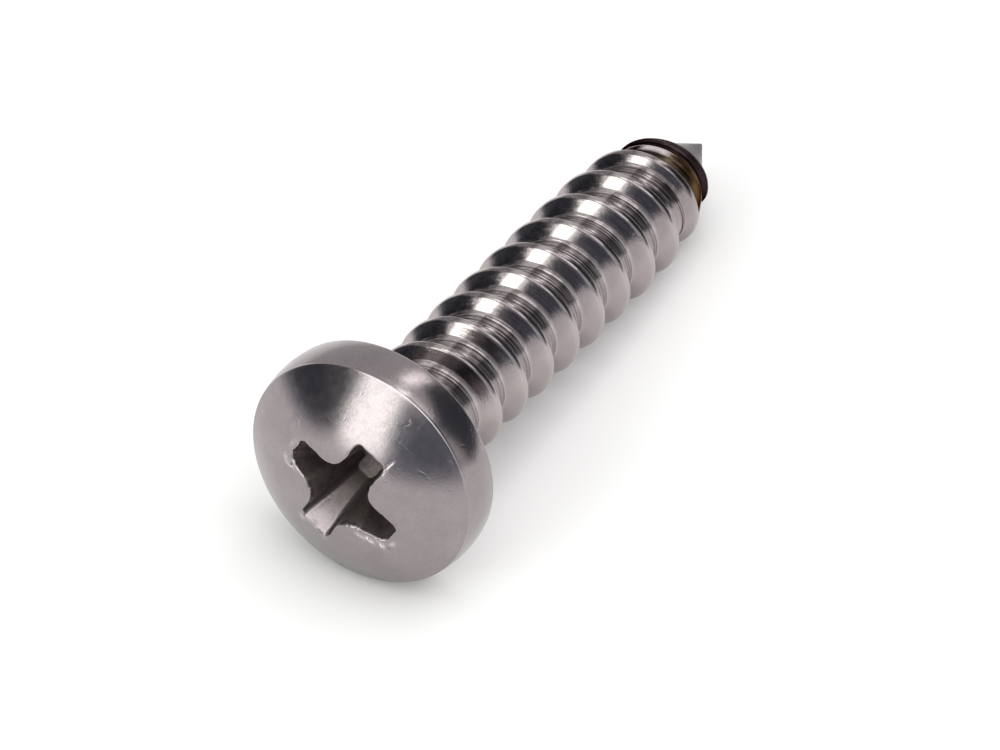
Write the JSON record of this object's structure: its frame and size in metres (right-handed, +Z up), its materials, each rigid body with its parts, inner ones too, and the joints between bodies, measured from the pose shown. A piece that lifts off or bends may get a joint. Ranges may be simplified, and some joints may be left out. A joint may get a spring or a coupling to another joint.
{
  "type": "screw",
  "caption": "Self-tapping sheet-metal screw with a domed pan head, a cross recess, a full-length coarse right-hand thread and a pointed end.",
  "frame": {"origin": "on the surface that the screw lies on, below the middle of its length: the bottom centre of its bounding box", "axes": "+Z up from that surface; the screw's axis lies in the X-Z plane with the tip towards +X and dipping 7 degrees; the head is at -X"},
  "size_m": [0.015, 0.0054, 0.0055],
  "materials": {
    "steel": "plain stainless steel, bright on the head and finely ringed between the threads"
  },
  "bodies": {
    "root": {"screw": "steel"}
  },
  "joints": []
}
